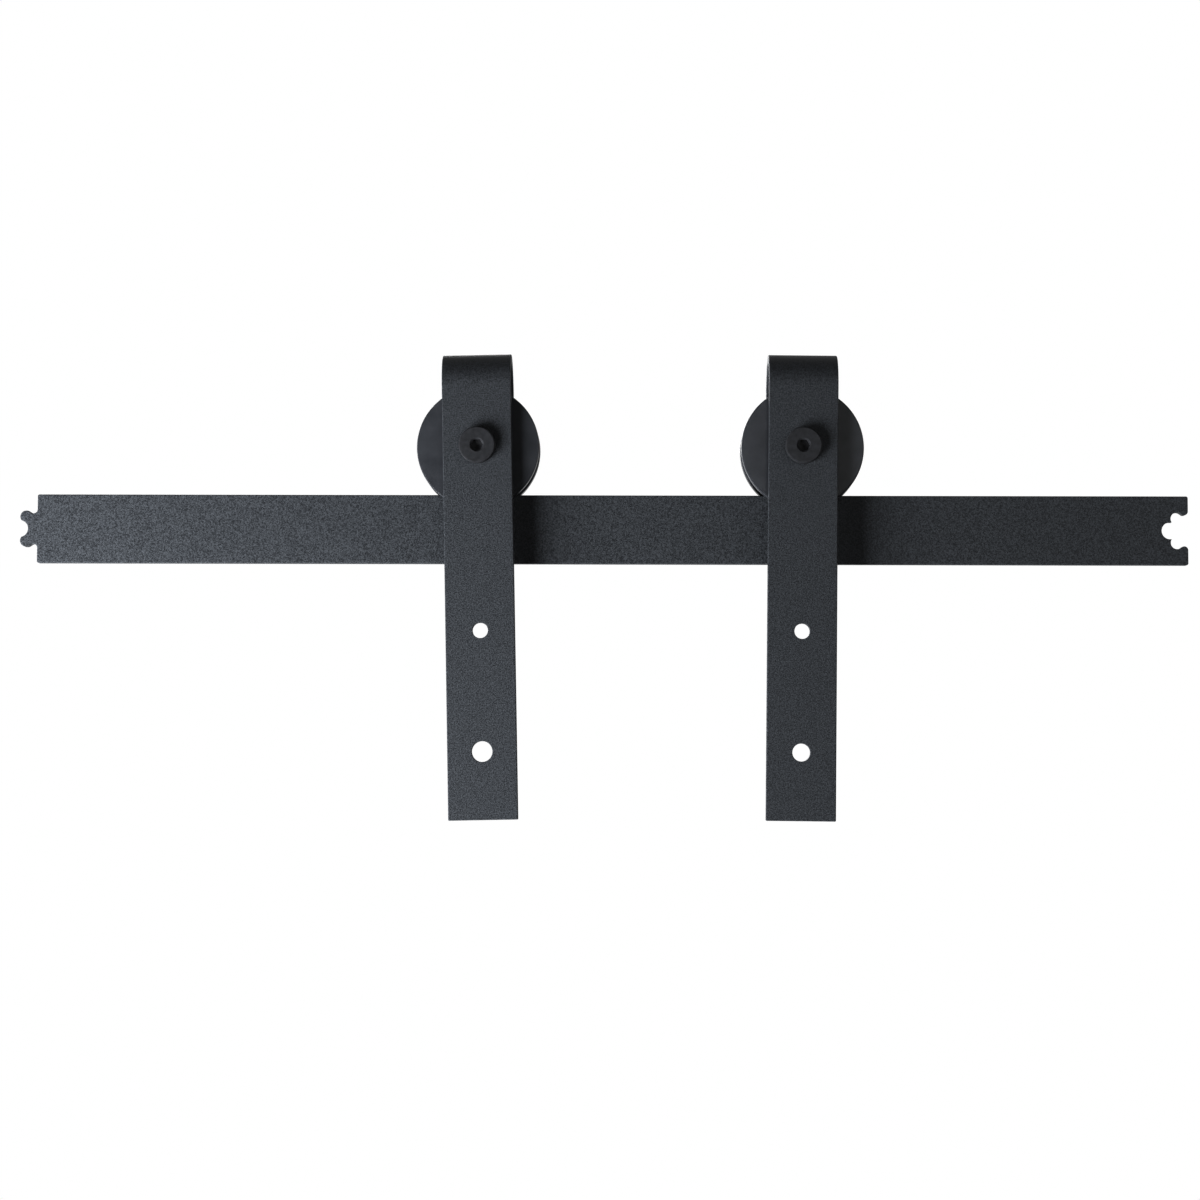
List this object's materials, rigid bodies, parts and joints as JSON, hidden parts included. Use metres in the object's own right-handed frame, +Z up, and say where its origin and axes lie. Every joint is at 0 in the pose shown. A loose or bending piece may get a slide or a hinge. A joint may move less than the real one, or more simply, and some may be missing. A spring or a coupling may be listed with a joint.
{
  "type": "sliding barn door hardware",
  "caption": "Flat black rail section with interlocking ends and bent strap hangers whose grooved wheels roll along the rail's top edge.",
  "frame": {"origin": "centre of the rail's flat back face, mid-way between the two shoulders", "axes": "+X along the rail to the viewer's right, +Y from the rail to the wall behind it, +Z up"},
  "size_m": [0.6801, 0.0565, 0.2721],
  "materials": {
    "powder_coat": "fine-textured black powder coat",
    "wheel_black": "smooth satin black",
    "black_steel": "black oxide, slight sheen",
    "bare_steel": "zinc-plated, turned",
    "bearing_steel": "ground",
    "ball_steel": "polished",
    "cage_steel": "pressed sheet",
    "seal_rubber": "matt moulded",
    "spring_steel": "phosphated spring steel"
  },
  "bodies": {
    "rail": {"rail": "powder_coat"},
    "left_carriage": {"left_bearing_balls": "ball_steel", "left_bearing_cage": "cage_steel"},
    "left_wheel": {"left_wheel": "wheel_black", "left_bearing_outer_race": "bearing_steel", "left_bearing_front_seal": "seal_rubber", "left_bearing_rear_seal": "seal_rubber", "left_circlip": "spring_steel"},
    "left_hanger": {"left_strap": "powder_coat", "left_axle_bolt": "black_steel", "left_front_spacer": "bare_steel", "left_rear_spacer": "bare_steel", "left_bearing_inner_race": "bearing_steel", "left_plain_washer": "black_steel", "left_spring_washer": "spring_steel", "left_axle_nut": "black_steel"},
    "right_carriage": {"right_bearing_balls": "ball_steel", "right_bearing_cage": "cage_steel"},
    "right_wheel": {"right_wheel": "wheel_black", "right_bearing_outer_race": "bearing_steel", "right_bearing_front_seal": "seal_rubber", "right_bearing_rear_seal": "seal_rubber", "right_circlip": "spring_steel"},
    "right_hanger": {"right_strap": "powder_coat", "right_axle_bolt": "black_steel", "right_front_spacer": "bare_steel", "right_rear_spacer": "bare_steel", "right_bearing_inner_race": "bearing_steel", "right_plain_washer": "black_steel", "right_spring_washer": "spring_steel", "right_axle_nut": "black_steel"}
  },
  "joints": [
    {"name": "left_roll_along", "type": "slide", "parent": "rail", "child": "left_carriage", "axis": [1, 0, 0], "range_m": [-0.221, 0.0345]},
    {"name": "left_wheel_spin", "type": "hinge", "parent": "left_carriage", "child": "left_wheel", "pos_m": [-0.0774, -0.003, 0.0471], "axis": [0, 1, 0], "continuous": true},
    {"name": "left_swing", "type": "hinge", "parent": "left_carriage", "child": "left_hanger", "pos_m": [-0.0774, -0.003, 0.0471], "axis": [0, 1, 0], "range_deg": [-8.75, 96.25]},
    {"name": "right_roll_along", "type": "slide", "parent": "rail", "child": "right_carriage", "axis": [1, 0, 0], "range_m": [-0.0345, 0.188]},
    {"name": "right_wheel_spin", "type": "hinge", "parent": "right_carriage", "child": "right_wheel", "pos_m": [0.1109, -0.003, 0.0471], "axis": [0, 1, 0], "continuous": true},
    {"name": "right_swing", "type": "hinge", "parent": "right_carriage", "child": "right_hanger", "pos_m": [0.1109, -0.003, 0.0471], "axis": [0, 1, 0], "range_deg": [-95.5, 9.5]}
  ],
  "couplings": [
    {"joint": "left_wheel_spin", "follows": "left_roll_along", "rad_per_m": 37.037},
    {"joint": "right_wheel_spin", "follows": "right_roll_along", "rad_per_m": 37.037}
  ]
}
